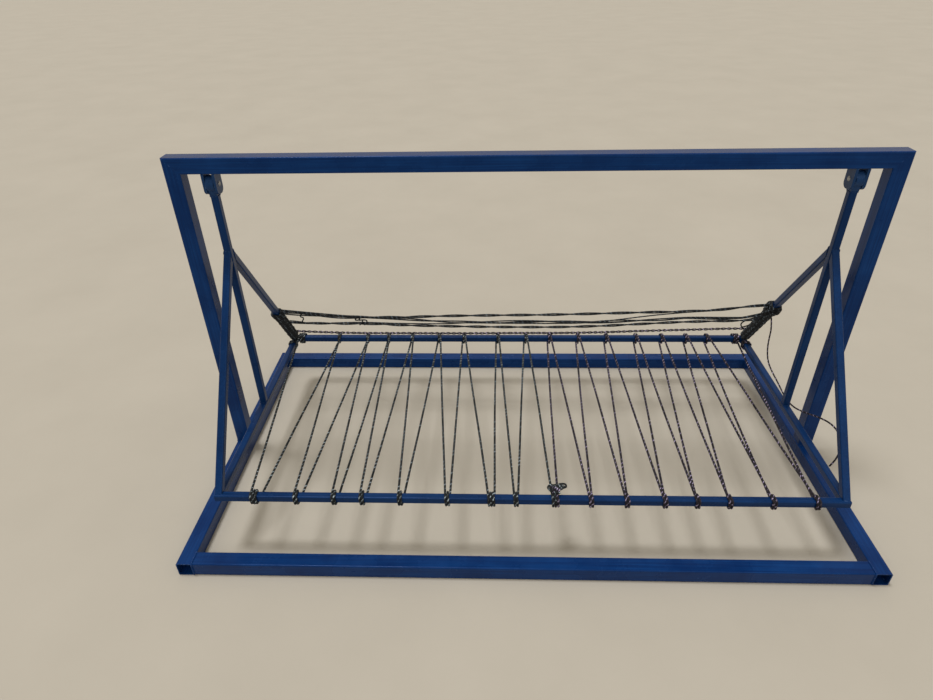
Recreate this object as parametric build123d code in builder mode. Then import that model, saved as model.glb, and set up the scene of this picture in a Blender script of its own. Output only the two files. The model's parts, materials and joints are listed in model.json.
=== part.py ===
from build123d import *
import os
from math import dist, radians, tan

# Swinging cradle: a floor stand of square steel tube with an open steel bed hung from two pivots.
# The bed's floor is one rope laced from rail to rail, and four ropes guard its rear side.
# X runs along the cradle, Y from its front to its rear and Z up; the origin is under its middle.

# Stand, welded from square tube
stand_length = 1100.0
stand_depth = 610.0
stand_height = 575.0
stand_tube = 25.0
stand_wall = 1.5
stand_corner = 2.0

# Swinging frame, welded from a smaller square tube
post_gap = 35.0
bed_depth = 488.0
bed_height = 114.0
bed_shift = -2.0
swing_tube = 12.0
swing_wall = 1.2
swing_corner = 2.0
leg_meet_height = 420.0

# Pivots: a barrel on a pin between two plates under each end of the top rail
pivot_drop = 17.5
pin_diameter = 8.0
pin_proud = 1.0
pin_chamfer = 0.8
pin_seat = 0.05
pin_running = 0.08
barrel_diameter = 26.0
barrel_length = 12.0
barrel_side_gap = 0.5
neck_width = 18.0
neck_height = 6.0
plate_thickness = 4.0
plate_width = 24.0
plate_drop = 33.0
plate_corner = 9.0

# Rope
rope_diameter = 3.0
guard_diameter = 5.0
rope_sides = 5
rope_gap = 0.3
bend_cut = 2.2
knot_pitch = 5.0
binding_turns = 24
left_binding_height = 223.0
right_binding_height = 254.0
corner_knot_inset = 20.0

# Knots of the lacing from left to right: percent of the bed's length from its left end, and turns round the rail
front_knots = [
    (6.4, 2.5), (13.2, 1.5), (19.3, 1.5), (23.8, 1.5), (29.9, 1.5), (37.4, 1.5), (44.4, 2.5), (48.3, 1.5),
    (54.5, 2.5), (60.1, 1.5), (65.7, 1.5), (71.6, 1.5), (76.6, 1.5), (81.6, 1.5), (88.3, 1.5), (95.0, 1.5),
]
rear_knots = [
    (10.4, 1.5), (16.8, 1.5), (21.5, 1.5), (26.8, 1.5), (32.8, 1.5), (38.3, 1.5), (45.8, 1.5), (52.0, 1.5),
    (57.2, 1.5), (63.5, 1.5), (69.7, 1.5), (76.2, 1.5), (81.8, 1.5), (87.1, 1.5), (91.6, 1.5),
]
corner_knot_turns = 3.5
bow_knot = 8
tie_knot = 8

# Heights and places that follow from the sizes above
stand_inner = stand_length / 2 - stand_tube
rail_underside = stand_height - stand_tube
pivot_height = rail_underside - pivot_drop
bed_length = 2 * (stand_inner - post_gap)
frame_x = (bed_length - swing_tube) / 2
rail_z = bed_height - swing_tube / 2
front_y = bed_shift - (bed_depth - swing_tube) / 2
rear_y = bed_shift + (bed_depth - swing_tube) / 2
meet = Vector(-frame_x, 0, leg_meet_height)
rope_reach = swing_tube / 2 + rope_gap + rope_diameter / 2
inner_plate_x = -frame_x + barrel_length / 2 + barrel_side_gap
outer_plate_x = -frame_x - barrel_length / 2 - barrel_side_gap - plate_thickness


def square_tube(start, end, side, width, wall, corner):
    """Section of a hollow square tube at start, ready to be extruded towards end, with one face looking to side."""
    with BuildSketch(Plane(origin=start, x_dir=side, z_dir=Vector(*end) - Vector(*start))) as section:
        RectangleRounded(width, width, corner)
        Rectangle(width - 2 * wall, width - 2 * wall, mode=Mode.SUBTRACT)
    return section.sketch


def stand_section(start, end):
    """Stand tube at start, seen towards end."""
    side = (0, 1, 0) if start[1] == end[1] else (1, 0, 0)
    return square_tube(start, end, side, stand_tube, stand_wall, stand_corner)


def swing_section(start, end):
    """Swinging frame tube at start, seen towards end."""
    side = (0, 1, 0) if start[1] == end[1] else (1, 0, 0)
    return square_tube(start, end, side, swing_tube, swing_wall, swing_corner)


def save(builder, name):
    """Name a finished piece and write its file."""
    builder.part.label = name
    export_step(builder.part, f"parts/{name}.step")


os.makedirs("parts", exist_ok=True)

# Base of the stand: the side rails run the full depth with open ends, the cross rails stand between them
base_x = stand_length / 2 - stand_tube / 2
base_y = stand_depth / 2 - stand_tube / 2
base_z = stand_tube / 2

with BuildPart() as base_rail_left:
    extrude(stand_section((-base_x, -stand_depth / 2, base_z), (-base_x, stand_depth / 2, base_z)), amount=stand_depth)
save(base_rail_left, "base_rail_left")

with BuildPart() as base_rail_right:
    mirror(base_rail_left.part, about=Plane.YZ)
save(base_rail_right, "base_rail_right")

with BuildPart() as base_rail_front:
    extrude(stand_section((-stand_inner, -base_y, base_z), (stand_inner, -base_y, base_z)), amount=2 * stand_inner)
save(base_rail_front, "base_rail_front")

with BuildPart() as base_rail_rear:
    mirror(base_rail_front.part, about=Plane.XZ)
save(base_rail_rear, "base_rail_rear")

# Posts and top rail, mitred together at the upper corners
mitre = Plane(origin=(-stand_inner, 0, rail_underside), x_dir=(0, 1, 0), z_dir=(1, 0, 1))

with BuildPart() as post_left:
    extrude(stand_section((-base_x, 0, stand_tube), (-base_x, 0, stand_height)), amount=stand_height - stand_tube)
    split(bisect_by=mitre, keep=Keep.BOTTOM)
save(post_left, "post_left")

with BuildPart() as post_right:
    mirror(post_left.part, about=Plane.YZ)
save(post_right, "post_right")

with BuildPart() as top_rail_half:
    top_z = stand_height - stand_tube / 2
    extrude(stand_section((-stand_length / 2, 0, top_z), (0, 0, top_z)), amount=stand_length / 2)
    split(bisect_by=mitre, keep=Keep.TOP)

with BuildPart() as top_rail:
    add(top_rail_half.part)
    mirror(top_rail_half.part, about=Plane.YZ)
save(top_rail, "top_rail")

# Pivot plates, welded by their top edges under the top rail
with BuildPart() as bracket_plate_left_inner:
    with BuildSketch(Plane.YZ.offset(inner_plate_x)):
        with Locations((0, rail_underside - plate_drop / 2)):
            Rectangle(plate_width, plate_drop)
        fillet(vertices().group_by(Axis.Y)[0], plate_corner)
        with Locations((0, pivot_height)):
            Circle(pin_diameter / 2 + pin_seat, mode=Mode.SUBTRACT)
    extrude(amount=plate_thickness)
save(bracket_plate_left_inner, "bracket_plate_left_inner")

with BuildPart() as bracket_plate_left_outer:
    with Locations((outer_plate_x - inner_plate_x, 0, 0)):
        add(bracket_plate_left_inner.part)
save(bracket_plate_left_outer, "bracket_plate_left_outer")

with BuildPart() as bracket_plate_right_inner:
    mirror(bracket_plate_left_inner.part, about=Plane.YZ)
save(bracket_plate_right_inner, "bracket_plate_right_inner")

with BuildPart() as bracket_plate_right_outer:
    mirror(bracket_plate_left_outer.part, about=Plane.YZ)
save(bracket_plate_right_outer, "bracket_plate_right_outer")

# Pins, a little proud of both plates
with BuildPart() as pivot_pin_left:
    pin_length = inner_plate_x + plate_thickness - outer_plate_x + 2 * pin_proud
    with BuildSketch(Plane.YZ.offset(outer_plate_x - pin_proud)):
        with Locations((0, pivot_height)):
            Circle(pin_diameter / 2)
    extrude(amount=pin_length)
    chamfer(edges().filter_by(GeomType.CIRCLE), pin_chamfer)
save(pivot_pin_left, "pivot_pin_left")

with BuildPart() as pivot_pin_right:
    mirror(pivot_pin_left.part, about=Plane.YZ)
save(pivot_pin_right, "pivot_pin_right")

# Barrels: a sleeve on the pin with a neck that narrows to the hanger
hanger_top = pivot_height - barrel_diameter / 2 - neck_height

with BuildPart() as barrel_left:
    with BuildSketch(Plane.YZ.offset(-frame_x - barrel_length / 2)):
        with Locations((0, pivot_height)):
            Circle(barrel_diameter / 2)
        with BuildLine():
            Polyline(
                (-swing_tube / 2, hanger_top),
                (swing_tube / 2, hanger_top),
                (neck_width / 2, pivot_height - barrel_diameter / 3),
                (-neck_width / 2, pivot_height - barrel_diameter / 3),
                close=True,
            )
        make_face()
        with Locations((0, pivot_height)):
            Circle(pin_diameter / 2 + pin_running, mode=Mode.SUBTRACT)
    extrude(amount=barrel_length)
save(barrel_left, "barrel_left")

with BuildPart() as barrel_right:
    mirror(barrel_left.part, about=Plane.YZ)
save(barrel_right, "barrel_right")

# End frames: the hanger runs from the barrel down to the side rail, the two legs lean against its faces
bed_top = Plane.XY.offset(bed_height)

with BuildPart() as hanger_left:
    extrude(swing_section((-frame_x, 0, bed_height), (-frame_x, 0, hanger_top)), amount=hanger_top - bed_height)
save(hanger_left, "hanger_left")

with BuildPart() as hanger_right:
    mirror(hanger_left.part, about=Plane.YZ)
save(hanger_right, "hanger_right")

with BuildPart() as front_leg_left:
    foot = Vector(-frame_x, front_y, rail_z)
    reach = foot + (foot - meet).normalized() * swing_tube
    extrude(swing_section(tuple(meet), tuple(reach)), amount=(reach - meet).length)
    split(bisect_by=bed_top, keep=Keep.TOP)
    split(bisect_by=Plane.XZ.offset(swing_tube / 2), keep=Keep.TOP)
save(front_leg_left, "front_leg_left")

with BuildPart() as front_leg_right:
    mirror(front_leg_left.part, about=Plane.YZ)
save(front_leg_right, "front_leg_right")

with BuildPart() as rear_leg_left:
    foot = Vector(-frame_x, rear_y, rail_z)
    reach = foot + (foot - meet).normalized() * swing_tube
    extrude(swing_section(tuple(meet), tuple(reach)), amount=(reach - meet).length)
    split(bisect_by=bed_top, keep=Keep.TOP)
    split(bisect_by=Plane.XZ.offset(-swing_tube / 2), keep=Keep.BOTTOM)
save(rear_leg_left, "rear_leg_left")

with BuildPart() as rear_leg_right:
    mirror(rear_leg_left.part, about=Plane.YZ)
save(rear_leg_right, "rear_leg_right")

# Bed frame: the long rails run the full length, the side rails stand between them
side_rail_length = rear_y - front_y - swing_tube

with BuildPart() as bed_rail_front:
    extrude(swing_section((-bed_length / 2, front_y, rail_z), (bed_length / 2, front_y, rail_z)), amount=bed_length)
save(bed_rail_front, "bed_rail_front")

with BuildPart() as bed_rail_rear:
    extrude(swing_section((-bed_length / 2, rear_y, rail_z), (bed_length / 2, rear_y, rail_z)), amount=bed_length)
save(bed_rail_rear, "bed_rail_rear")

with BuildPart() as bed_rail_left:
    side_start = (-frame_x, front_y + swing_tube / 2, rail_z)
    side_end = (-frame_x, rear_y - swing_tube / 2, rail_z)
    extrude(swing_section(side_start, side_end), amount=side_rail_length)
save(bed_rail_left, "bed_rail_left")

with BuildPart() as bed_rail_right:
    mirror(bed_rail_left.part, about=Plane.YZ)
save(bed_rail_right, "bed_rail_right")

# Corners round a square rail in the order that the rope passes them: over its top, down its front, back under it
corners = [(-1, 1), (-1, -1), (1, -1), (1, 1)]


def station_x(percent):
    """Place along the bed of a point given as a percentage of its length from the left end."""
    return bed_length * (percent / 100 - 0.5)


def turns_round(x, y, first, turns):
    """Route of a rope wound round a bed rail at x, from the corner numbered first."""
    count = round(4 * turns)
    start = x - (count - 1) * knot_pitch / 8
    route = []
    for step in range(count):
        across, up = corners[(first + step) % 4]
        route.append((start + step * knot_pitch / 4, y + across * rope_reach, rail_z + up * rope_reach))
    return route


def eased(points):
    """Turn each sharp bend of a route into two half bends, cut back along both of its runs."""
    route = [Vector(*points[0])]
    for before, here, after in zip(points, points[1:], points[2:]):
        here = Vector(*here)
        route.append(here + (Vector(*before) - here).normalized() * bend_cut)
        route.append(here + (Vector(*after) - here).normalized() * bend_cut)
    return route + [Vector(*points[-1])]


def rope_section(start, ahead, diameter):
    """Section of a rope at start, facing the point ahead."""
    with BuildSketch(Plane(origin=start, z_dir=Vector(*ahead) - Vector(*start))) as section:
        RegularPolygon(diameter / 2, rope_sides)
    return section.sketch


def least_gap(route, diameter):
    """Least gap between the turns of one rope, measured on points set out along its centre line."""
    points = []
    for a, b in zip(route, route[1:]):
        pieces = max(1, round((b - a).length / 2))
        points += [tuple(a + (b - a) * (k / pieces)) for k in range(pieces)]
    cell = 3 * diameter
    cells = {}
    for number, point in enumerate(points):
        cells.setdefault(tuple(int(c // cell) for c in point), []).append(number)
    least = cell
    for number, point in enumerate(points):
        home = [int(c // cell) for c in point]
        for dx in (-1, 0, 1):
            for dy in (-1, 0, 1):
                for dz in (-1, 0, 1):
                    for other in cells.get((home[0] + dx, home[1] + dy, home[2] + dz), []):
                        if other - number > 3 * diameter:
                            least = min(least, dist(point, points[other]))
    return least - diameter


# Lacing: one rope from the left rear corner to the right one, turned round the front and the rear rail by turns
corner_knot_x = frame_x - corner_knot_inset
rear_places = [(station_x(percent), turns) for percent, turns in rear_knots] + [(corner_knot_x, corner_knot_turns)]
lacing_points = turns_round(-corner_knot_x, rear_y, 2, corner_knot_turns)
lacing_points.insert(0, (lacing_points[0][0], rear_y - swing_tube / 2, rail_z - rope_reach))
for (percent, turns), (rear_x, rear_turns) in zip(front_knots, rear_places):
    lacing_points += turns_round(station_x(percent), front_y, 0, turns)
    lacing_points += turns_round(rear_x, rear_y, 2, rear_turns)
lacing_points.append((lacing_points[-1][0], rear_y - swing_tube / 2, rail_z + rope_reach))
lacing_route = eased(lacing_points)
print("lacing: least gap to itself", round(least_gap(lacing_route, rope_diameter), 2), "mm")

with BuildPart() as bed_lacing:
    with BuildLine():
        Polyline(*lacing_route)
    sweep(rope_section(lacing_route[0], lacing_route[1], rope_diameter), transition=Transition.RIGHT)
save(bed_lacing, "bed_lacing")

# Bow that ties the lacing off behind the front rail, as offsets from the knot it sits on
bow_offsets = [
    (-4, 11, 0.3), (1, 16, 0.3), (8, 22, 1.1), (16, 21, 2.4), (17, 14, 3.5), (9, 11, 3.9),
    (0, 14, 3.9), (-9, 19, 3.5), (-14, 14, 2.4), (-10, 7, 1.1), (-1, 5, 0.5), (8, 3, 0.5),
]
knot_top = rail_z + rope_reach + rope_diameter / 2
bow_z = knot_top - rope_gap + rope_diameter / 2
bow_x = station_x(front_knots[bow_knot][0])
bow_route = [Vector(bow_x + dx, front_y + dy, bow_z + dz) for dx, dy, dz in bow_offsets]

with BuildPart() as tie_off_bow:
    with BuildLine():
        Polyline(*bow_route)
    sweep(rope_section(bow_route[0], bow_route[1], rope_diameter), transition=Transition.RIGHT)
save(tie_off_bow, "tie_off_bow")


def turns_down_leg(side_x, height):
    """Route of a rope wound round a rear leg, from the given height down to just above the bed rails."""
    top = Vector(side_x, 0, leg_meet_height)
    down = (Vector(side_x, rear_y, rail_z) - top).normalized()
    outward = down.cross(Vector(1, 0, 0))
    first = (height - leg_meet_height) / down.Z
    lowest = bed_height + 2 * rope_gap + (rope_reach + rope_diameter / 2) * down.Y
    step = ((lowest - leg_meet_height) / down.Z - first) / (4 * binding_turns)
    route = []
    for number in range(4 * binding_turns + 2):
        across, up = corners[number % 4]
        beside = Vector(across * rope_reach, 0, 0) + outward * up * rope_reach
        route.append(top + down * (first + number * step) + beside)
    route[0] = (route[0] + route[1]) / 2
    route[-1] = (route[-1] + route[-2]) / 2
    return [tuple(point) for point in route]


# Bindings wound down both rear legs, where the guard ropes are made fast
left_binding_route = eased(turns_down_leg(-frame_x, left_binding_height))
right_binding_route = eased(turns_down_leg(frame_x, right_binding_height))
print("left binding: least gap to itself", round(least_gap(left_binding_route, rope_diameter), 2), "mm")
print("right binding: least gap to itself", round(least_gap(right_binding_route, rope_diameter), 2), "mm")

with BuildPart() as leg_binding_left:
    with BuildLine():
        Polyline(*left_binding_route)
    sweep(rope_section(left_binding_route[0], left_binding_route[1], rope_diameter), transition=Transition.RIGHT)
save(leg_binding_left, "leg_binding_left")

with BuildPart() as leg_binding_right:
    with BuildLine():
        Polyline(*right_binding_route)
    sweep(rope_section(right_binding_route[0], right_binding_route[1], rope_diameter), transition=Transition.RIGHT)
save(leg_binding_right, "leg_binding_right")


def bend_radii(points):
    """Radius of each bend of a slack rope, as large as its two runs allow."""
    radii = []
    for before, here, after in zip(points, points[1:], points[2:]):
        into = Vector(*here) - Vector(*before)
        out = Vector(*after) - Vector(*here)
        radii.append(0.45 * min(into.length, out.length) / tan(radians(into.get_angle(out)) / 2))
    return radii


# Guard ropes, slack between the bindings of the two rear legs: percent of the way from left to right, Y and Z
guard_end = frame_x - rope_reach - rope_diameter / 2 - rope_gap


def guard_points(course):
    """Points of a guard rope from its course."""
    return [(guard_end * (percent / 50 - 1), y, z) for percent, y, z in course]


top_guard_points = guard_points([
    (0, 150, 224), (7.8, 149, 217.5), (15.2, 148, 212.5), (24.7, 147, 212), (34.2, 145.5, 215.5),
    (44.7, 144, 218), (56.3, 142, 220.5), (66.9, 140.5, 224), (75.3, 139.5, 227), (83.7, 138, 230),
    (91.1, 137, 235), (96.4, 136.5, 242), (100, 136, 245),
])
middle_guard_points = guard_points([
    (0, 152, 218), (7.8, 152.4, 212.5), (14.4, 152.7, 207), (24.7, 153.2, 205), (29.1, 153.5, 201.8),
    (33.7, 153.7, 198.3), (43.7, 154.2, 196.9), (56.3, 154.8, 196.6), (66.9, 155.3, 197.4), (75.3, 155.8, 200),
    (83.5, 156.2, 202.7), (92.2, 156.6, 205), (96.4, 157, 207.5), (100, 157, 212),
])
low_guard_points = guard_points([
    (0, 186, 179.5), (4.7, 185, 176.3), (11, 183.8, 175.9), (20, 182, 175.6), (24.4, 181, 174),
    (33.1, 179.4, 172.6), (50, 176, 172.2), (59, 174.2, 173.5), (67.4, 172.5, 177), (75.8, 170.8, 182.6),
    (84, 169.2, 188), (92.2, 167.5, 191.5), (96.9, 166.5, 193.5), (100, 166, 197),
])
bottom_guard_points = guard_points([
    (0, 218, 137), (5.3, 217.6, 135), (14.5, 216.8, 133), (23.7, 216, 133.2), (41.7, 214.7, 133.8),
    (50.6, 214, 135), (59.6, 213.2, 135.7), (68.4, 212.5, 137.8), (77.2, 211.8, 141.5), (90.2, 210.8, 146),
    (95.3, 210.3, 148), (100, 209, 149.5),
])

with BuildPart() as guard_rope_top:
    with BuildLine():
        FilletPolyline(*top_guard_points, radius=bend_radii(top_guard_points))
    sweep(rope_section(top_guard_points[0], top_guard_points[1], rope_diameter))
save(guard_rope_top, "guard_rope_top")

with BuildPart() as guard_rope_middle:
    with BuildLine():
        FilletPolyline(*middle_guard_points, radius=bend_radii(middle_guard_points))
    sweep(rope_section(middle_guard_points[0], middle_guard_points[1], guard_diameter))
save(guard_rope_middle, "guard_rope_middle")

with BuildPart() as guard_rope_low:
    with BuildLine():
        FilletPolyline(*low_guard_points, radius=bend_radii(low_guard_points))
    sweep(rope_section(low_guard_points[0], low_guard_points[1], rope_diameter))
save(guard_rope_low, "guard_rope_low")

with BuildPart() as guard_rope_bottom:
    with BuildLine():
        FilletPolyline(*bottom_guard_points, radius=bend_radii(bottom_guard_points))
    sweep(rope_section(bottom_guard_points[0], bottom_guard_points[1], guard_diameter))
save(guard_rope_bottom, "guard_rope_bottom")

# Short tie that draws the lowest guard rope towards a knot on the rear rail
tie_x = station_x(rear_knots[tie_knot][0])
tie_points = [(tie_x + 4, 214.9, 132.6), (tie_x + 2, rear_y - 4.5, knot_top + rope_gap + rope_diameter * 0.4)]

with BuildPart() as rear_tie:
    with BuildLine():
        Line(*tie_points)
    sweep(rope_section(tie_points[0], tie_points[1], rope_diameter))
save(rear_tie, "rear_tie")

# Loose tail of the right binding: down to the side rail, along its outer face and out in a loose loop
# Each point is its distance outside the rail's outer face, then Y and Z
tail_course = [
    (4.5, 157, 206), (8, 151, 184), (8.5, 151, 161), (7.5, 144, 139), (6.5, 127, 122), (5.5, 100, 117),
    (4.5, 63, 115), (4, 28, 110), (6, -4, 110), (13, -34, 120), (21, -66, 135), (25.5, -97, 146),
    (25.5, -125, 148), (22, -146, 136), (14, -157, 119), (6, -158, 106),
]
tail_points = [(bed_length / 2 + out, y, z) for out, y, z in tail_course]
tail_radii = bend_radii(tail_points)
print("loose tail: bend radii", [round(radius, 1) for radius in tail_radii], "mm")

with BuildPart() as rope_tail:
    with BuildLine():
        FilletPolyline(*tail_points, radius=tail_radii)
    sweep(rope_section(tail_points[0], tail_points[1], rope_diameter))
save(rope_tail, "rope_tail")
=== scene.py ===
import json
import math

import bpy
import numpy as np
from mathutils import Matrix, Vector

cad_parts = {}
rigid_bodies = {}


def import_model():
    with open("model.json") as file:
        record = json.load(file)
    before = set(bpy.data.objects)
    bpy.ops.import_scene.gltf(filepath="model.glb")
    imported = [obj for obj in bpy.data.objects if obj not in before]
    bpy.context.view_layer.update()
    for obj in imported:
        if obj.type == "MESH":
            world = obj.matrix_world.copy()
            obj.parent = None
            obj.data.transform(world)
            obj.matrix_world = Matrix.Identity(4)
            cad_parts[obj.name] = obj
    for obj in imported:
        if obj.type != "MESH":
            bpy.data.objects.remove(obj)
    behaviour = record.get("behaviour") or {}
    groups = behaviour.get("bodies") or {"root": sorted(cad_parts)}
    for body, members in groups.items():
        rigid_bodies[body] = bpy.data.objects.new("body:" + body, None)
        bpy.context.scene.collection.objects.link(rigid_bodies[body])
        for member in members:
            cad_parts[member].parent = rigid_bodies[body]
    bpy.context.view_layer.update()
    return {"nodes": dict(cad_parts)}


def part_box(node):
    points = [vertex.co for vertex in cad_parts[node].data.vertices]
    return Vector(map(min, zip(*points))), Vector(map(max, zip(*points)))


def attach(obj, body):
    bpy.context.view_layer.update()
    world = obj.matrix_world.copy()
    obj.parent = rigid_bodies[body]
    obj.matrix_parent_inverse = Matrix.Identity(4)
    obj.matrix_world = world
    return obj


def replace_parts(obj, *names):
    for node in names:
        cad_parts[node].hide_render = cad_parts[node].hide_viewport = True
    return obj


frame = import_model()

# Metres in a millimetre, and directions: along the cradle to its right, towards its rear, and up
MM = 0.001
RIGHT = (1, 0, 0)
REARWARD = (0, 1, 0)
UP = (0, 0, 1)


def corners_of(node):
    """Lowest and highest corner of a tube of the frame, in mm to the nearest tenth."""
    return [[round(place / MM, 1) for place in corner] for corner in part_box(node)]


# Sizes and places of the tubes in mm
base_low, base_high = corners_of("base_rail_left")
front_low, front_high = corners_of("bed_rail_front")
STAND_TUBE = base_high[2] - base_low[2]
STAND_INNER = -base_high[0]
STAND_DEPTH = base_high[1] - base_low[1]
SWING_TUBE = front_high[2] - front_low[2]
BED_LENGTH = front_high[0] - front_low[0]
BED_HEIGHT = front_high[2]
FRAME_X = BED_LENGTH / 2 - SWING_TUBE / 2
FRONT_Y = front_low[1] + SWING_TUBE / 2
REAR_Y = corners_of("bed_rail_rear")[1][1] - SWING_TUBE / 2
RAIL_Z = BED_HEIGHT - SWING_TUBE / 2
HANGER_TOP = corners_of("hanger_left")[1][2]

# Height where the lines of the legs meet, and the radius of the tubes' corners, as in the part's source
MEET_HEIGHT = 420.0
TUBE_CORNER = 2.0

# Diameters of the ropes, their lay, and the sides and steps of their meshes
ROPE = 3.0
LACING = 4.0
BOW_ROPE = 3.4
GUARD_ROPE = 2.8
CROSSING_ROPE = 2.6
LAY = 9.0
ROPE_SIDES = 10
ROPE_STEP = 1.2

# Middle of the rope's line as it goes round a bed rail, and the radius of its corners
ROUND_RAIL = SWING_TUBE / 2 + ROPE / 2 + 0.05
ROUND_CORNER = 3.6


# Lines

def spaced(line, step):
    """The same line as points a step apart, by length along it."""
    along = np.concatenate([[0.0], np.cumsum(np.linalg.norm(np.diff(line, axis=0), axis=1))])
    places = np.linspace(0.0, along[-1], max(2, round(along[-1] / step) + 1))
    return np.stack([np.interp(places, along, line[:, axis]) for axis in range(3)], axis=1)


def slack(points):
    """Slack line through points: cubic runs, where the slope at each point is that of a parabola through the
    point and its two neighbours."""
    points = np.array(points, float)
    along = np.concatenate([[0.0], np.cumsum(np.linalg.norm(np.diff(points, axis=0), axis=1))])
    slope = np.gradient(points, along, axis=0)
    places = np.linspace(0.0, along[-1], max(2, round(along[-1] / ROPE_STEP) + 1))
    run = np.clip(np.searchsorted(along, places, side="right") - 1, 0, len(points) - 2)
    length = (along[run + 1] - along[run])[:, None]
    t = (places - along[run])[:, None] / length
    start = (1 + 2 * t) * (1 - t) ** 2 * points[run] + t * (1 - t) ** 2 * length * slope[run]
    end = t ** 2 * (3 - 2 * t) * points[run + 1] + t ** 2 * (t - 1) * length * slope[run + 1]
    return start + end


def round_square(turned, half, corner):
    """Place on a rounded square after that many turns from the middle of one side.

    The square is flat runs and quarter circles. The real part is the distance out through that side, and the
    imaginary part the distance along it.
    """
    flat = half - corner
    quarter = 2 * flat + math.pi / 2 * corner
    side = np.round(4 * turned)
    along = (4 * turned - side) * quarter
    bend = np.clip((np.abs(along) - flat) / corner, 0.0, None)
    out = flat + corner * np.cos(bend)
    across = np.sign(along) * (np.minimum(np.abs(along), flat) + corner * np.sin(bend))
    return (out + 1j * across) * 1j ** side


def across_line(line, steady):
    """Two unit vectors square to a line at each point, the first one also square to the steady direction."""
    ahead = np.gradient(line, axis=0)
    side = np.cross(ahead, np.array(steady, float))
    side /= np.linalg.norm(side, axis=1, keepdims=True)
    rise = np.cross(ahead, side)
    return side, rise / np.linalg.norm(rise, axis=1, keepdims=True)


def beside(line, gap, turn, lay):
    """Line that winds round another one at a gap, which may change along it: its angle is the turn plus one
    round for each lay."""
    side, rise = across_line(line, UP)
    length = np.concatenate([[0.0], np.cumsum(np.linalg.norm(np.diff(line, axis=0), axis=1))])
    angle = 2 * math.pi * (turn + length / lay)
    gap = np.asarray(gap)[..., None]
    return line + gap * (np.cos(angle)[:, None] * side + np.sin(angle)[:, None] * rise)


# Pieces

def carried(name, lines, radius, finish, body, steady, sides, lay=math.inf, shut=False):
    """A round profile carried along one or more lines, in mm.

    Point k of a ring is at angle a = 2 pi k / sides and at distance radius(a, s, whole) from the line, where
    s is the length along the line and whole its full length. UV u is a / 2 pi - s / lay, so it follows the
    strands of a laid rope, and v is s in metres. Open ends are closed by fans, and shut joins the last ring
    to the first.
    """
    points, faces, uvs, count = [], [], [], 0
    for line in lines:
        length = np.concatenate([[0.0], np.cumsum(np.linalg.norm(np.diff(line, axis=0), axis=1))])
        side, rise = across_line(np.concatenate([line[-2:-1], line, line[1:2]]) if shut else line, steady)
        if shut:
            line, length, side, rise = line[:-1], length[:-1], side[1:-2], rise[1:-2]
        rows = len(line)
        angle = 2 * math.pi * np.arange(sides) / sides
        away = radius(angle[None, :], length[:, None], length[-1])[..., None]
        turn = angle[None, :, None]
        rings = line[:, None] + away * (np.cos(turn) * side[:, None] + np.sin(turn) * rise[:, None])
        points += [rings.reshape(-1, 3)]
        row, column = np.meshgrid(np.arange(rows if shut else rows - 1), np.arange(sides), indexing="ij")
        corners = [(row, column), (row, column + 1), (row + 1, column + 1), (row + 1, column)]
        quads = np.stack([r % rows * sides + c % sides for r, c in corners], axis=-1)
        faces += (count + quads).reshape(-1, 4).tolist()
        reach = np.append(length, length[-1] + 1.0)
        uv = [np.stack([c / sides - reach[r] / lay, reach[r] * MM], axis=-1) for r, c in corners]
        uvs += [np.stack(uv, axis=-2).reshape(-1, 2)]
        count += rows * sides
        if not shut:
            points += [line[:1], line[-1:]]
            first, last = count - rows * sides, count - sides
            k = np.arange(sides)
            faces += np.stack([first + (k + 1) % sides, first + k, np.full(sides, count)], axis=-1).tolist()
            faces += np.stack([last + k, last + (k + 1) % sides, np.full(sides, count + 1)], axis=-1).tolist()
            ends = [np.stack([[k + 1, k, k + 0.5], np.zeros((3, sides))], axis=-1),
                    np.stack([[k, k + 1, k + 0.5], np.full((3, sides), length[-1] * MM * sides)], axis=-1)]
            uvs += [end.transpose(1, 0, 2).reshape(-1, 2) / sides for end in ends]
            count += 2
    mesh = bpy.data.meshes.new(name)
    mesh.from_pydata(np.concatenate(points) * MM, [], faces)
    mesh.uv_layers.new(name="lay").data.foreach_set("uv", np.concatenate(uvs).ravel().astype(np.float32))
    mesh.shade_smooth()
    mesh.materials.append(finish)
    piece = bpy.data.objects.new(name, mesh)
    bpy.context.scene.collection.objects.link(piece)
    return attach(piece, body)


def rope(name, lines, finish, diameter=ROPE, replaces=(), steady=RIGHT):
    """Laid rope: its radius is half the diameter times 0.84 + 0.16 |cos 1.5 (a - 2 pi s / lay)|, one round
    for each of three strands that turn once in a lay, and each end closes like a dome over one radius."""
    def radius(angle, along, whole):
        strands = 0.84 + 0.16 * np.abs(np.cos(1.5 * (angle - 2 * math.pi * along / LAY)))
        near = np.clip(np.minimum(along, whole - along) / (diameter / 2), 0.0, 1.0)
        return diameter / 2 * strands * np.sqrt(np.clip(1 - (1 - near) ** 2, 0.05, 1.0))

    lines = [spaced(line, ROPE_STEP) for line in lines]
    piece = carried(name, lines, radius, finish, "bed", steady, ROPE_SIDES, LAY)
    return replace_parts(piece, *replaces) if replaces else piece


def bead(name, lines, finish, body, size=1.5, shut=True):
    """Weld bead: a round of that radius, rippled by 0.2 of it every 2.4 mm along the joint."""
    def radius(angle, along, whole):
        return size * (1 + 0.2 * np.cos(2 * math.pi * along / 2.4)) + 0 * angle

    lines = [spaced(line, 0.6) for line in lines]
    return carried(name, lines, radius, finish, body, (0.31, 0.17, 0.93), 8, shut=shut)


# Materials

def linear(colour):
    """sRGB hex to linear red, green, blue and alpha."""
    parts = [int(colour[i:i + 2], 16) / 255 for i in (1, 3, 5)]
    return [p / 12.92 if p <= 0.04045 else ((p + 0.055) / 1.055) ** 2.4 for p in parts] + [1.0]


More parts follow.
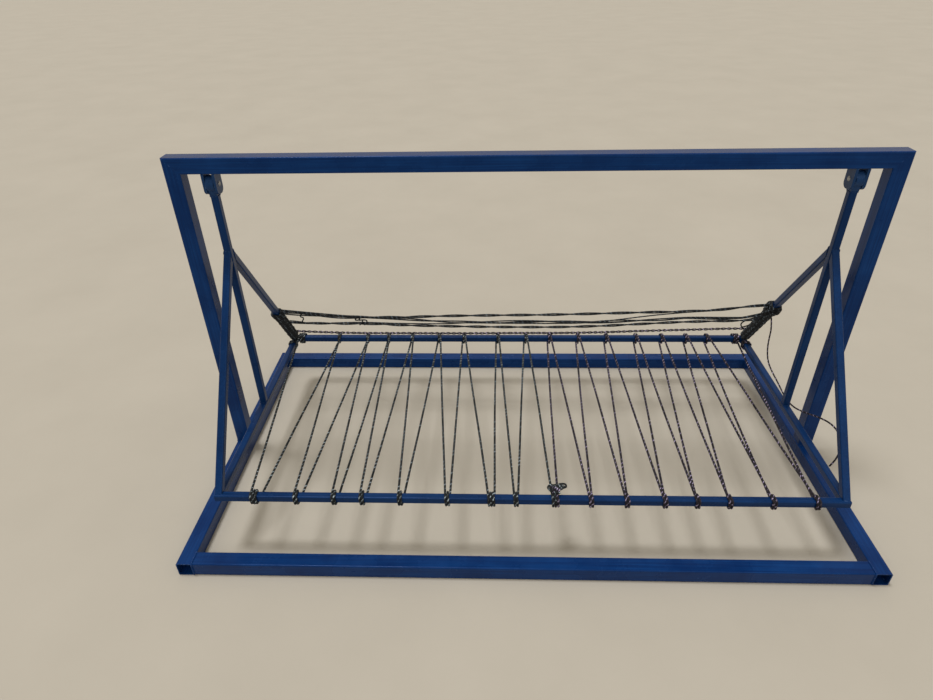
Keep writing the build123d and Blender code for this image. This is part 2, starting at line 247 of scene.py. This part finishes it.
def add(tree, kind, inputs=None, **settings):
    """Adds a node. Settings are its properties. Inputs are values of its sockets, or the sockets that feed
    them, by name or, where its sockets share a name, by number."""
    node = tree.nodes.new(kind)
    for name, value in settings.items():
        setattr(node, name, value)
    for name, value in (inputs or {}).items():
        if isinstance(value, bpy.types.NodeSocket):
            tree.links.new(value, node.inputs[name])
        else:
            node.inputs[name].default_value = value
    return node


def new_material(name):
    """An empty material and its node tree."""
    material = bpy.data.materials.new(name)
    material.use_nodes = True
    material.node_tree.nodes.clear()
    return material, material.node_tree


def gloss_enamel(name, deep, thin, scuffed, slope, grain):
    """Gloss enamel brushed on square steel tube: a dark coat with faint ridges along the tube where the brush
    went, a shade lighter where the coat is thin, and scuffed paler spots on the tube's corners."""
    material, tree = new_material(name)
    place = add(tree, "ShaderNodeTexCoord").outputs["Object"]
    # Brush ridges: about 1.5 mm across the tube and 120 mm along it
    drawn = add(tree, "ShaderNodeMapping", {"Vector": place, "Rotation": slope, "Scale": grain}).outputs[0]
    brush = add(tree, "ShaderNodeTexNoise", {"Vector": drawn, "Scale": 1.0, "Detail": 3.0}).outputs[0]
    # Thick and thin places of the coat, about 70 mm long
    lumps = {"Vector": place, "Scale": 14.0, "Detail": 4.0, "Roughness": 0.6}
    coat = add(tree, "ShaderNodeTexNoise", lumps).outputs[0]
    amount = add(tree, "ShaderNodeMath", {0: brush, 1: coat}, operation="MULTIPLY").outputs[0]
    thinness = add(tree, "ShaderNodeMapRange", {0: amount, 1: 0.06, 2: 0.46}).outputs[0]
    # Corners of the tube: where the rounded normal leaves the true one, broken up by spots of about 3 mm
    rounded = add(tree, "ShaderNodeBevel", {"Radius": 0.0016}, samples=6).outputs[0]
    true = add(tree, "ShaderNodeNewGeometry").outputs["Normal"]
    facing = add(tree, "ShaderNodeVectorMath", {0: rounded, 1: true}, operation="DOT_PRODUCT")
    edge = add(tree, "ShaderNodeMapRange", {0: facing.outputs["Value"], 1: 0.995, 2: 0.93}).outputs[0]
    spots = add(tree, "ShaderNodeTexNoise", {"Vector": place, "Scale": 320.0, "Detail": 2.0}).outputs[0]
    spotted = add(tree, "ShaderNodeMapRange", {0: spots, 1: 0.56, 2: 0.66}).outputs[0]
    worn = add(tree, "ShaderNodeMath", {0: edge, 1: spotted}, operation="MULTIPLY").outputs[0]
    coats = {0: thinness, 6: linear(deep), 7: linear(thin)}
    paint = add(tree, "ShaderNodeMix", coats, data_type="RGBA").outputs[2]
    scuffs = {0: worn, 6: paint, 7: linear(scuffed)}
    # Orange peel: dimples about 1.2 mm apart
    peel = add(tree, "ShaderNodeTexNoise", {"Vector": place, "Scale": 800.0, "Detail": 1.0}).outputs[0]
    height = add(tree, "ShaderNodeMath", {0: brush, 1: 0.8, 2: peel}, operation="MULTIPLY_ADD").outputs[0]
    bump = add(tree, "ShaderNodeBump", {"Strength": 0.18, "Distance": 0.0004, "Height": height}).outputs[0]
    shader = add(tree, "ShaderNodeBsdfPrincipled", {
        "Base Color": add(tree, "ShaderNodeMix", scuffs, data_type="RGBA").outputs[2],
        "Roughness": add(tree, "ShaderNodeMapRange", {0: coat, 1: 0.3, 2: 0.7, 3: 0.2, 4: 0.36}).outputs[0],
        "IOR": 1.5, "Specular IOR Level": 0.28,
        "Specular Tint": linear("#7f9fdc"), "Coat Weight": 0.03, "Coat Roughness": 0.12, "Normal": bump})
    add(tree, "ShaderNodeOutputMaterial", {"Surface": shader.outputs["BSDF"]})
    return material


def turned_steel(name, bright, dull):
    """Turned mild steel with a thin film of oil: grey metal with fine rings from the lathe and dull
    brown-grey spots."""
    material, tree = new_material(name)
    place = add(tree, "ShaderNodeTexCoord").outputs["Object"]
    # Lathe rings, drawn 1.6 mm apart along the pin so that they show
    lathe = {"Vector": place, "Scale": 200.0, "Distortion": 0.4}
    rings = add(tree, "ShaderNodeTexWave", lathe, bands_direction="X").outputs["Fac"]
    spots = add(tree, "ShaderNodeTexNoise", {"Vector": place, "Scale": 420.0, "Detail": 3.0}).outputs[0]
    dulled = add(tree, "ShaderNodeMapRange", {0: spots, 1: 0.5, 2: 0.7}).outputs[0]
    bump = add(tree, "ShaderNodeBump", {"Strength": 0.3, "Distance": 0.0002, "Height": rings})
    greys = {0: dulled, 6: linear(bright), 7: linear(dull)}
    shader = add(tree, "ShaderNodeBsdfPrincipled", {
        "Base Color": add(tree, "ShaderNodeMix", greys, data_type="RGBA").outputs[2], "Metallic": 1.0,
        "Roughness": add(tree, "ShaderNodeMapRange", {0: spots, 3: 0.28, 4: 0.5}).outputs[0],
        "Normal": bump.outputs[0]})
    add(tree, "ShaderNodeOutputMaterial", {"Surface": shader.outputs["BSDF"]})
    return material


def laid_rope(name, dark, light, tint):
    """Three-strand polypropylene rope: dark strands, one of them with pale yarns laid in, so that a small
    pale fleck shows about once in each lay, with fine fibres along the strands and a soft sheen."""
    material, tree = new_material(name)
    lay = add(tree, "ShaderNodeUVMap", uv_map="lay").outputs[0]
    across = add(tree, "ShaderNodeSeparateXYZ", {0: lay}).outputs[0]
    third = add(tree, "ShaderNodeMath", {0: across, 1: 3.0}, operation="MULTIPLY").outputs[0]
    in_strand = add(tree, "ShaderNodeMath", {0: third}, operation="FRACT").outputs[0]
    swell = add(tree, "ShaderNodeMath", {0: in_strand, 1: 0.5}, operation="PINGPONG").outputs[0]
    once = add(tree, "ShaderNodeMath", {0: across}, operation="FRACT").outputs[0]
    pale = add(tree, "ShaderNodeMath", {0: once, 1: 0.24}, operation="LESS_THAN").outputs[0]
    # The pale yarns are broken by dark ones every 6 mm or so
    spaced_out = add(tree, "ShaderNodeMapping", {"Vector": lay, "Scale": (2.0, 170.0, 1.0)}).outputs[0]
    broken = add(tree, "ShaderNodeTexNoise", {"Vector": spaced_out, "Scale": 1.0, "Detail": 2.0}).outputs[0]
    shown = add(tree, "ShaderNodeMapRange", {0: broken, 1: 0.44, 2: 0.62}).outputs[0]
    dash = add(tree, "ShaderNodeMath", {0: pale, 1: shown}, operation="MULTIPLY").outputs[0]
    # Fibres: 0.15 mm across, drawn at 0.3 mm so that they show
    drawn = add(tree, "ShaderNodeMapping", {"Vector": lay, "Scale": (32.0, 120.0, 1.0)}).outputs[0]
    fibres = add(tree, "ShaderNodeTexNoise", {"Vector": drawn, "Scale": 1.0, "Detail": 2.0}).outputs[0]
    yarns = {0: fibres, 6: linear(dark), 7: linear(tint)}
    flecks = {0: dash, 6: add(tree, "ShaderNodeMix", yarns, data_type="RGBA").outputs[2], 7: linear(light)}
    height = add(tree, "ShaderNodeMath", {0: fibres, 1: 0.25, 2: swell}, operation="MULTIPLY_ADD").outputs[0]
    bump = add(tree, "ShaderNodeBump", {"Strength": 0.7, "Distance": 0.0006, "Height": height}).outputs[0]
    shader = add(tree, "ShaderNodeBsdfPrincipled", {
        "Base Color": add(tree, "ShaderNodeMix", flecks, data_type="RGBA").outputs[2], "Roughness": 0.62,
        "IOR": 1.49, "Specular IOR Level": 0.3, "Sheen Weight": 0.05, "Sheen Roughness": 0.4, "Normal": bump})
    add(tree, "ShaderNodeOutputMaterial", {"Surface": shader.outputs["BSDF"]})
    return material


def honed_floor(name, pale, shade):
    """Plain pale floor, honed and matt, with clouds a shade apart about 300 mm across."""
    material, tree = new_material(name)
    place = add(tree, "ShaderNodeTexCoord").outputs["Object"]
    drifts = {"Vector": place, "Scale": 3.3, "Detail": 5.0, "Roughness": 0.6}
    clouds = add(tree, "ShaderNodeTexNoise", drifts).outputs[0]
    tones = {0: clouds, 6: linear(pale), 7: linear(shade)}
    shader = add(tree, "ShaderNodeBsdfPrincipled", {
        "Base Color": add(tree, "ShaderNodeMix", tones, data_type="RGBA").outputs[2], "Roughness": 0.75,
        "Specular IOR Level": 0.25})
    add(tree, "ShaderNodeOutputMaterial", {"Surface": shader.outputs["BSDF"]})
    return material


# Directions of the brush: lengthwise on rails along X and Y, on upright tubes and on both slopes of the legs
LEG_LEAN = math.atan2(REAR_Y, MEET_HEIGHT - RAIL_Z)
ALONG = {
    "x": ((0, 0, 0), (8, 620, 620)), "y": ((0, 0, 0), (620, 8, 620)), "z": ((0, 0, 0), (620, 620, 8)),
    "front": ((LEG_LEAN, 0, 0), (620, 620, 8)), "rear": ((-LEG_LEAN, 0, 0), (620, 620, 8)),
}

stand_enamel = {way: gloss_enamel(f"stand_navy_enamel_{way}", "#031d4c", "#0f3b75", "#4a6798", *ALONG[way])
                for way in "xyz"}
bed_enamel = {way: gloss_enamel(f"bed_navy_enamel_{way}", "#061e43", "#103566", "#43608e", *ALONG[way])
              for way in ALONG}
pivot_enamel = gloss_enamel("pivot_blue_enamel", "#0f2548", "#1f3e68", "#526a90", *ALONG["z"])
pin_steel = turned_steel("pin_turned_steel", "#9a9ca0", "#57524c")
teal_rope = laid_rope("rope_teal_polypropylene", "#05090c", "#a9b8c2", "#10191f")
purple_rope = laid_rope("rope_purple_polypropylene", "#09070d", "#b5a8cc", "#1b1524")
worn_rope = laid_rope("rope_worn_dark_polypropylene", "#06090c", "#66727d", "#141920")

PAINTED = {
    "base_rail_left": "y", "base_rail_right": "y", "base_rail_front": "x", "base_rail_rear": "x",
    "post_left": "z", "post_right": "z", "top_rail": "x",
}
BED_PAINTED = {
    "hanger_left": "z", "hanger_right": "z", "front_leg_left": "front", "front_leg_right": "front",
    "rear_leg_left": "rear", "rear_leg_right": "rear", "bed_rail_front": "x", "bed_rail_rear": "x",
    "bed_rail_left": "y", "bed_rail_right": "y",
}
finishes = {node: stand_enamel[way] for node, way in PAINTED.items()}
finishes.update({node: bed_enamel[way] for node, way in BED_PAINTED.items()})
for side in ("left", "right"):
    finishes.update({f"bracket_plate_{side}_inner": pivot_enamel, f"bracket_plate_{side}_outer": pivot_enamel,
                     f"barrel_{side}": pivot_enamel, f"pivot_pin_{side}": pin_steel})
for node, finish in finishes.items():
    for slot in frame["nodes"][node].material_slots:
        slot.material = finish


# Camera

def put_camera(place, turn, dip, roll, lens):
    """Camera at place, in mm, turned, dipped and rolled by degrees from a level look along +Y."""
    turn, dip, roll = (math.radians(angle) for angle in (turn, dip, roll))
    forward = np.array([math.sin(turn) * math.cos(dip), math.cos(turn) * math.cos(dip), -math.sin(dip)])
    level = np.array([math.cos(turn), -math.sin(turn), 0.0])
    rise = np.cross(level, forward)
    right = math.cos(roll) * level + math.sin(roll) * rise
    up = math.cos(roll) * rise - math.sin(roll) * level
    camera = bpy.data.objects.new("camera", bpy.data.cameras.new("camera"))
    camera.data.sensor_width = 36.0
    camera.data.lens = lens
    turned = Matrix(np.stack([right, up, -forward], axis=1).tolist()).to_4x4()
    camera.matrix_world = Matrix.Translation([where * MM for where in place]) @ turned
    bpy.context.scene.collection.objects.link(camera)
    bpy.context.scene.camera = camera


put_camera(place=(-57.6, -949.3, 839.1), turn=-2.498, dip=32.694, roll=-1.241, lens=24.60)


# Loose tail

# The route of the part's source: out of the right binding, down to the side rail, along it and into a loop
TAIL = [
    (494.5, 157, 206), (498, 151, 184), (498.5, 151, 161), (497.5, 144, 139), (496.5, 127, 122),
    (495.5, 100, 117), (494.5, 63, 115), (494, 28, 110), (496, -4, 110), (503, -34, 120), (511, -66, 135),
    (515.5, -97, 146), (515.5, -125, 148), (512, -146, 136), (504, -157, 119), (496, -158, 106),
]


def nurbs_line(name, route):
    """Points along the NURBS spline that has the route as its control points, in mm."""
    curve = bpy.data.curves.new(name, "CURVE")
    curve.dimensions = "3D"
    curve.resolution_u = 24
    spline = curve.splines.new("NURBS")
    spline.points.add(len(route) - 1)
    spline.points.foreach_set("co", np.array([(*point, 1.0 / MM) for point in route]).ravel() * MM)
    spline.order_u = 3
    spline.use_endpoint_u = True
    guide = bpy.data.objects.new(name, curve)
    mesh = bpy.data.meshes.new_from_object(guide)
    line = np.empty(3 * len(mesh.vertices), np.float32)
    mesh.vertices.foreach_get("co", line)
    for data, store in ((guide, bpy.data.objects), (curve, bpy.data.curves), (mesh, bpy.data.meshes)):
        store.remove(data)
    return line.reshape(-1, 3).astype(float) / MM


tail_line = nurbs_line("rope_tail_route", TAIL)
rope_tail = rope("loose_rope_tail", [tail_line], purple_rope, replaces=["rope_tail"])


# Lacing

# Knots on the two long rails: percent of the bed's length from its left end, and turns round the rail
FRONT_KNOTS = [
    (6.4, 2.5), (13.2, 1.5), (19.3, 1.5), (23.8, 1.5), (29.9, 1.5), (37.4, 1.5), (44.4, 2.5), (48.3, 1.5),
    (54.5, 2.5), (60.1, 1.5), (65.7, 1.5), (71.6, 1.5), (76.6, 1.5), (81.6, 1.5), (88.3, 1.5), (95.0, 1.5),
]
REAR_KNOTS = [
    (10.4, 1.5), (16.8, 1.5), (21.5, 1.5), (26.8, 1.5), (32.8, 1.5), (38.3, 1.5), (45.8, 1.5), (52.0, 1.5),
    (57.2, 1.5), (63.5, 1.5), (69.7, 1.5), (76.2, 1.5), (81.8, 1.5), (87.1, 1.5), (91.6, 1.5),
]
CORNER_KNOT_X = 469.0
CORNER_TURNS = 3.5
KNOT_PITCH = 4.0
BOW_KNOT = 8
TIE_KNOT = 8
chance = np.random.default_rng(11)


def station_x(percent):
    """Place along the bed of a point given as a percentage of its length from the left end."""
    return BED_LENGTH * (percent / 100 - 0.5)


def knot_line(x, turns, front):
    """Turns round a bed rail: over the top and down the front on the front rail, and under and up the back on
    the rear one.

    The place round the rail follows a rounded square, which swells by 0.35 mm in mid knot, and x advances by
    the pitch at each turn.
    """
    turned = np.linspace(0.0, turns, round(60 * turns))
    bulge = 0.35 * np.sin(math.pi * turned / turns) ** 2
    place = round_square(turned, (SWING_TUBE + LACING) / 2 + bulge, ROUND_CORNER + bulge)
    way = -1 if front else 1
    return np.stack([x + KNOT_PITCH * (turned - turns / 2), (FRONT_Y if front else REAR_Y) + way * place.imag,
                     RAIL_Z - way * place.real], axis=1)


def strand(start, end):
    """Strand between two knots, which sags by a parabola and wanders sideways by a slow sine."""
    t = np.linspace(0.0, 1.0, 80)[1:-1, None]
    sag, wander, waves = chance.uniform(1.0, 3.0), chance.uniform(-1.2, 1.2), chance.uniform(0.8, 1.8)
    line = start + (end - start) * t
    line[:, 2:] -= 4 * sag * t * (1 - t)
    line[:, :1] += wander * np.sin(math.pi * waves * t) * np.sin(math.pi * t)
    return line


right_corner = (50 + 100 * CORNER_KNOT_X / BED_LENGTH, CORNER_TURNS)
stations = [(-CORNER_KNOT_X, CORNER_TURNS, False)]
for (front, front_turns), (rear, rear_turns) in zip(FRONT_KNOTS, REAR_KNOTS + [right_corner]):
    stations += [(station_x(front), front_turns, True), (station_x(rear), rear_turns, False)]
knots = [knot_line(*station) for station in stations]
# The two corner knots are wound towards their corners
for corner in (0, -1):
    knots[corner][:, 0] = 2 * stations[corner][0] - knots[corner][:, 0]
lacing = [knots[0]]
for before, knot in zip(knots, knots[1:]):
    lacing += [strand(before[-1], knot[0]), knot]

# The rope changes colour in the knot that carries the bow
change = 2 * (2 * BOW_KNOT + 1)
half_knot = len(lacing[change]) // 2
teal_lacing = np.concatenate(lacing[:change] + [lacing[change][:half_knot + 1]])
purple_lacing = np.concatenate([lacing[change][half_knot:]] + lacing[change + 1:])
rope("lacing_teal_half", [teal_lacing], teal_rope, LACING, ["bed_lacing"])
rope("lacing_purple_half", [purple_lacing], purple_rope, LACING, ["bed_lacing"])


# Bow

# Two loops on top of their knot: to the right of it, behind the front rail's middle, and up
BOW = [
    (-4, 11, 0.3), (1, 16, 0.3), (8, 22, 1.1), (16, 21, 2.4), (17, 14, 3.5), (9, 11, 3.9),
    (0, 14, 3.9), (-7, 18, 3.5), (-11, 14, 2.4), (-8, 8, 1.1), (-1, 5, 0.5), (8, 3, 0.5),
]
bow_x = station_x(FRONT_KNOTS[BOW_KNOT][0])
bow_z = RAIL_Z + 10.5
bow_line = slack([(bow_x + x, FRONT_Y + y, bow_z + z) for x, y, z in BOW])
# A flat coil fills the space between the loops
turned = np.linspace(0.0, 2.6, 160)
closing = 1 - 0.3 * turned
coil = np.stack([bow_x + 3 + 12.5 * closing * np.cos(2 * math.pi * turned),
                 FRONT_Y + 13 + 6.5 * closing * np.sin(2 * math.pi * turned),
                 bow_z + 2.1 + 0.9 * turned], axis=1)
rope("tie_off_bow_loops", [bow_line, coil], teal_rope, BOW_ROPE, ["tie_off_bow"], UP)

# Half hitches that pull the loops together, wound round an axis along the rail
turned = np.linspace(0.0, 4.0, 160)
hitches = np.stack([bow_x - 6 + 3.1 * turned, FRONT_Y + 11 + 5.5 * np.sin(2 * math.pi * turned),
                    bow_z + 0.5 + 3.6 * np.cos(2 * math.pi * turned)], axis=1)
rope("tie_off_bow_hitches", [hitches], purple_rope)


# Bindings

def binding_line(side, top, bottom, layer, pitch, seed):
    """Turns down a rear leg between two heights, on that layer of rope, or back up where pitch is negative.

    They follow a rounded square that grows with the layer, with a slow wobble out and along so that they lie
    unevenly.
    """
    down = np.array([0.0, REAR_Y, RAIL_Z - MEET_HEIGHT])
    down /= np.linalg.norm(down)
    outward = np.cross(down, RIGHT)
    first, last = (top - MEET_HEIGHT) / down[2], (bottom - MEET_HEIGHT) / down[2]
    turns = (last - first) / abs(pitch)
    turned = np.linspace(0.0, turns, round(48 * turns))
    phase = np.random.default_rng(seed).uniform(0.0, 6.0, 3)
    wobble = 0.25 * np.sin(5.3 * turned + phase[0]) + 0.2 * np.sin(1.7 * turned + phase[1])
    place = round_square(turned, ROUND_RAIL + 2.7 * layer + wobble, ROUND_CORNER + 2.2 * layer)
    along = first + (last - first) * turned / turns + 0.5 * np.sin(2.9 * turned + phase[2])
    line = (np.array([side * FRAME_X, 0.0, MEET_HEIGHT]) + along[:, None] * down
            + place.imag[:, None] * np.array([side, 0.0, 0.0]) + place.real[:, None] * outward)
    return line if pitch > 0 else line[::-1]


LEG_DOWN = (0.0, REAR_Y, RAIL_Z - MEET_HEIGHT)
left_binding = [binding_line(-1, top=223, bottom=121, layer=0, pitch=3.1, seed=1),
                binding_line(-1, top=222, bottom=205, layer=0.6, pitch=7.0, seed=2)]
right_binding = [binding_line(1, top=250, bottom=121, layer=0, pitch=3.1, seed=4),
                 binding_line(1, top=246, bottom=222, layer=0.9, pitch=5.2, seed=6),
                 binding_line(1, top=243, bottom=230, layer=1.6, pitch=-5.6, seed=7)]
rope("left_leg_binding", left_binding, worn_rope, ROPE, ["leg_binding_left"], LEG_DOWN)
rope("right_leg_binding", right_binding, worn_rope, ROPE, ["leg_binding_right"], LEG_DOWN)


def corner_wrap(side):
    """Three turns round a side rail: the same rounded square, wound forward from near the rear corner."""
    turned = np.linspace(0.0, 3.0, 144)
    place = round_square(turned, ROUND_RAIL, ROUND_CORNER)
    y = REAR_Y - 20.5 - KNOT_PITCH * turned
    return np.stack([side * (FRAME_X - place.imag), y, RAIL_Z + place.real], axis=1)


rope("left_corner_wrap", [corner_wrap(-1)], teal_rope, steady=REARWARD)
rope("right_corner_wrap", [corner_wrap(1)], purple_rope, steady=REARWARD)


# Guard ropes

# Percent of the way from the left binding to the right one, y and z
TOP_GUARD = [
    (0, 150, 224), (7.8, 149, 217.5), (15.2, 148, 212.5), (24.7, 147, 212), (34.2, 145.5, 215.5),
    (44.7, 144, 218), (56.3, 142, 220.5), (66.9, 140.5, 224), (75.3, 139.5, 227), (83.7, 138, 230),
    (91.1, 137, 235), (96.4, 136.5, 242), (100, 136, 245),
]
MIDDLE_GUARD = [
    (0, 152, 218), (7.8, 152.4, 212.5), (14.4, 152.7, 207), (24.7, 153.2, 205), (29.1, 153.5, 201.8),
    (33.7, 153.7, 198.3), (43.7, 154.2, 196.9), (56.3, 154.8, 196.6), (66.9, 155.3, 197.4),
    (75.3, 155.8, 200), (83.5, 156.2, 202.7), (92.2, 156.6, 205), (96.4, 157, 207.5), (100, 157, 212),
]
LOW_GUARD = [
    (0, 186, 179.5), (4.7, 185, 176.3), (11, 183.8, 175.9), (20, 182, 175.6), (24.4, 181, 174),
    (33.1, 179.4, 172.6), (50, 176, 172.2), (59, 174.2, 173.5), (67.4, 172.5, 177), (75.8, 170.8, 182.6),
    (84, 169.2, 188), (92.2, 167.5, 191.5), (96.9, 166.5, 193.5), (100, 166, 197),
]
BOTTOM_GUARD = [
    (0, 218, 137), (5.3, 217.6, 135), (14.5, 216.8, 133), (23.7, 216, 133.2), (41.7, 214.7, 133.8),
    (50.6, 214, 135), (59.6, 213.2, 135.7), (68.4, 212.5, 137.8), (77.2, 211.8, 141.5), (90.2, 210.8, 146),
    (95.3, 210.3, 148), (100, 209, 149.5),
]
# The guard ropes end 0.6 mm clear of the bindings
GUARD_END = FRAME_X - SWING_TUBE / 2 - ROPE - 0.6


def guard_line(course):
    """Smooth line of a guard rope from its course."""
    return slack([(GUARD_END * (percent / 50 - 1), y, z) for percent, y, z in course])


courses = (TOP_GUARD, MIDDLE_GUARD, LOW_GUARD, BOTTOM_GUARD)
top_line, middle_line, low_line, bottom_line = (guard_line(course) for course in courses)


def passing(lines, marks, gap, turn, lay):
    """Rope that follows one guard line after another: between two marks, as shares of the way, it eases
    across to the next line by a smooth step, and all the way it winds round them at a gap."""
    lines = [line[np.linspace(0, len(line) - 1, 600).round().astype(int)] for line in lines]
    line, way = lines[0], np.linspace(0.0, 1.0, 600)[:, None]
    for following, (start, end) in zip(lines[1:], marks):
        t = np.clip((way - start) / (end - start), 0.0, 1.0)
        line = line + (following - line) * t ** 2 * (3 - 2 * t)
    return beside(line, gap, turn, lay)


def place_on(line, way):
    """Point of a line at that share of the way."""
    return line[round(way * (len(line) - 1))]


top_pair = [beside(top_line, gap=1.5, turn=turn, lay=130.0) for turn in (0.0, 0.5)]
rope("top_guard_rope", top_pair, worn_rope, ROPE, ["guard_rope_top"], UP)
# The ropes of the bundle part from 82 percent of the way, towards the right binding
way = np.linspace(0.0, 1.0, len(middle_line))
spread = 1.7 + 2.4 * np.clip((way - 0.82) / 0.2, 0.0, 1.0) ** 2
bundle = [beside(middle_line, spread, turn, lay) for turn, lay in ((0.0, 210.0), (0.5, 160.0))]
rope("middle_guard_bundle", bundle, worn_rope, GUARD_ROPE, ["guard_rope_middle"], UP)
rising_rope = passing([low_line, middle_line], [(0.17, 0.4)], gap=2.9, turn=0.2, lay=330.0)
doubled_rope = passing([top_line, middle_line, top_line], [(0.16, 0.36), (0.6, 0.86)],
                       gap=3.0, turn=0.75, lay=1400.0)
rope("crossing_guard_ropes", [rising_rope, doubled_rope], worn_rope, CROSSING_ROPE, steady=UP)
low_pair = [beside(low_line, gap=1.5, turn=turn, lay=110.0) for turn in (0.1, 0.6)]
rope("low_guard_rope", low_pair, worn_rope, ROPE, ["guard_rope_low"], UP)
bottom_pair = [beside(bottom_line, gap=1.5, turn=turn, lay=24.0) for turn in (0.0, 0.5)]
rope("bottom_guard_pair", bottom_pair, purple_rope, CROSSING_ROPE, ["guard_rope_bottom"], UP)

# Short links from the middle guard ropes to the low ones near the left end, and a stray loop near the right
links = [slack([place_on(middle_line, high) + (2, 0, 3.5), place_on(middle_line, high) + (-1, -2.5, 0),
                place_on(middle_line, high) + (-3, 1, -4), place_on(low_line, low) + (3, -1, 4),
                place_on(low_line, low) + (0, -2.5, 0), place_on(low_line, low) + (-3, 0.5, -3)])
         for high, low in ((0.042, 0.026), (0.165, 0.158), (0.158, 0.168))]
rope("guard_links", links, worn_rope, GUARD_ROPE, steady=(0.2, 1, 0))
stray = slack([(474, 158, 207), (462, 161, 202), (450, 164, 195), (443, 165.5, 186),
               (446, 166, 179), (455, 166, 181), (466, 168, 186), (476, 172, 187)])
rope("stray_loop", [stray], worn_rope, GUARD_ROPE, steady=REARWARD)

# Short tie from the bottom pair to a knot on the rear rail
tie_x = station_x(REAR_KNOTS[TIE_KNOT][0])
tie_line = slack([(tie_x + 4, 213.5, 134.6), (tie_x + 4, 214.9, 132.6), (tie_x + 3, 223, 125.5),
                  (tie_x + 2, 231.5, 118.8)])
rope("tie_to_rear_rail", [tie_line], purple_rope, replaces=["rear_tie"])


# Welds

def round_joint(centre, out, along, half, reach=0.5):
    """Line of a weld round a square tube where it meets another one: a rounded square, carried into the
    joint's plane by the two directions, and open at the bottom where reach is under half a turn."""
    place = round_square(np.linspace(-reach, reach, 161), half, TUBE_CORNER)
    out, along = np.array(out, float), np.array(along, float)
    return np.array(centre, float) + place.real[:, None] * out + place.imag[:, None] * along


base_y = STAND_DEPTH / 2 - STAND_TUBE / 2
base_x = STAND_INNER + STAND_TUBE / 2
half_stand, half_bed = STAND_TUBE / 2, SWING_TUBE / 2
base_corners = [(side * STAND_INNER, end * base_y, half_stand) for side in (-1, 1) for end in (-1, 1)]
base_welds = [round_joint(corner, UP, REARWARD, half_stand, reach=0.36) for corner in base_corners]
bead("base_weld_beads", base_welds, stand_enamel["y"], "stand", shut=False)
post_welds = [round_joint((side * base_x, 0, STAND_TUBE), RIGHT, REARWARD, half_stand) for side in (-1, 1)]
bead("post_weld_beads", post_welds, stand_enamel["z"], "stand", size=1.1)

bed_welds = []
for side in (-1, 1):
    for end, rail_y in ((-1, FRONT_Y), (1, REAR_Y)):
        slope = (MEET_HEIGHT - RAIL_Z) / abs(rail_y)
        at_hanger = (side * FRAME_X, end * half_bed, MEET_HEIGHT - half_bed * slope)
        at_rail = (side * FRAME_X, rail_y - end * half_bed, RAIL_Z)
        bed_welds += [round_joint(at_hanger, (0, 0, math.hypot(1.0, slope)), RIGHT, half_bed),
                      round_joint(at_rail, UP, RIGHT, half_bed)]
    bed_welds += [round_joint((side * FRAME_X, 0, height), RIGHT, REARWARD, half_bed)
                  for height in (HANGER_TOP, BED_HEIGHT)]
bead("bed_weld_beads", bed_welds, bed_enamel["z"], "bed", size=1.0)


# Floor and light

def flat_floor(name, half, finish):
    """Floor at z = 0: a square grid of points out to half its width, in metres."""
    x, y = np.meshgrid(np.linspace(-half, half, 9), np.linspace(-half, half, 9), indexing="ij")
    points = np.stack([x, y, 0 * x], axis=-1).reshape(-1, 3)
    r, c = np.meshgrid(np.arange(8), np.arange(8), indexing="ij")
    faces = np.stack([9 * r + c, 9 * (r + 1) + c, 9 * (r + 1) + c + 1, 9 * r + c + 1], axis=-1).reshape(-1, 4)
    mesh = bpy.data.meshes.new(name)
    mesh.from_pydata(points, [], faces.tolist())
    mesh.materials.append(finish)
    floor = bpy.data.objects.new(name, mesh)
    bpy.context.scene.collection.objects.link(floor)


flat_floor("floor", half=30.0, finish=honed_floor("honed_floor", "#b9b3a8", "#aca69b"))

# An even surround close to the floor's lit colour, so that a low view shows only a faint line at the horizon
world = bpy.data.worlds.new("studio")
world.use_nodes = True
world.node_tree.nodes.clear()
surround = add(world.node_tree, "ShaderNodeBackground", {"Color": linear("#bfb7a8"), "Strength": 1.0})
add(world.node_tree, "ShaderNodeOutputWorld", {"Surface": surround.outputs[0]})
bpy.context.scene.world = world


def soft_lamp(name, aim, strength, spread):
    """Soft distant lamp that shines along aim, its disc spread over that many degrees."""
    lamp = bpy.data.lights.new(name, "SUN")
    lamp.energy = strength
    lamp.angle = math.radians(spread)
    holder = bpy.data.objects.new(name, lamp)
    forward = np.array(aim, float) / np.linalg.norm(aim)
    side = np.cross(forward, UP)
    side /= np.linalg.norm(side)
    rise = np.cross(side, forward)
    holder.matrix_world = Matrix(np.stack([side, rise, -forward], axis=1).tolist()).to_4x4()
    bpy.context.scene.collection.objects.link(holder)


soft_lamp("key_lamp", aim=(0.2, -0.06, -1.0), strength=1.75, spread=14)
soft_lamp("fill_lamp", aim=(-0.15, 0.9, -0.6), strength=0.6, spread=50)

bpy.context.scene.view_settings.view_transform = "Standard"
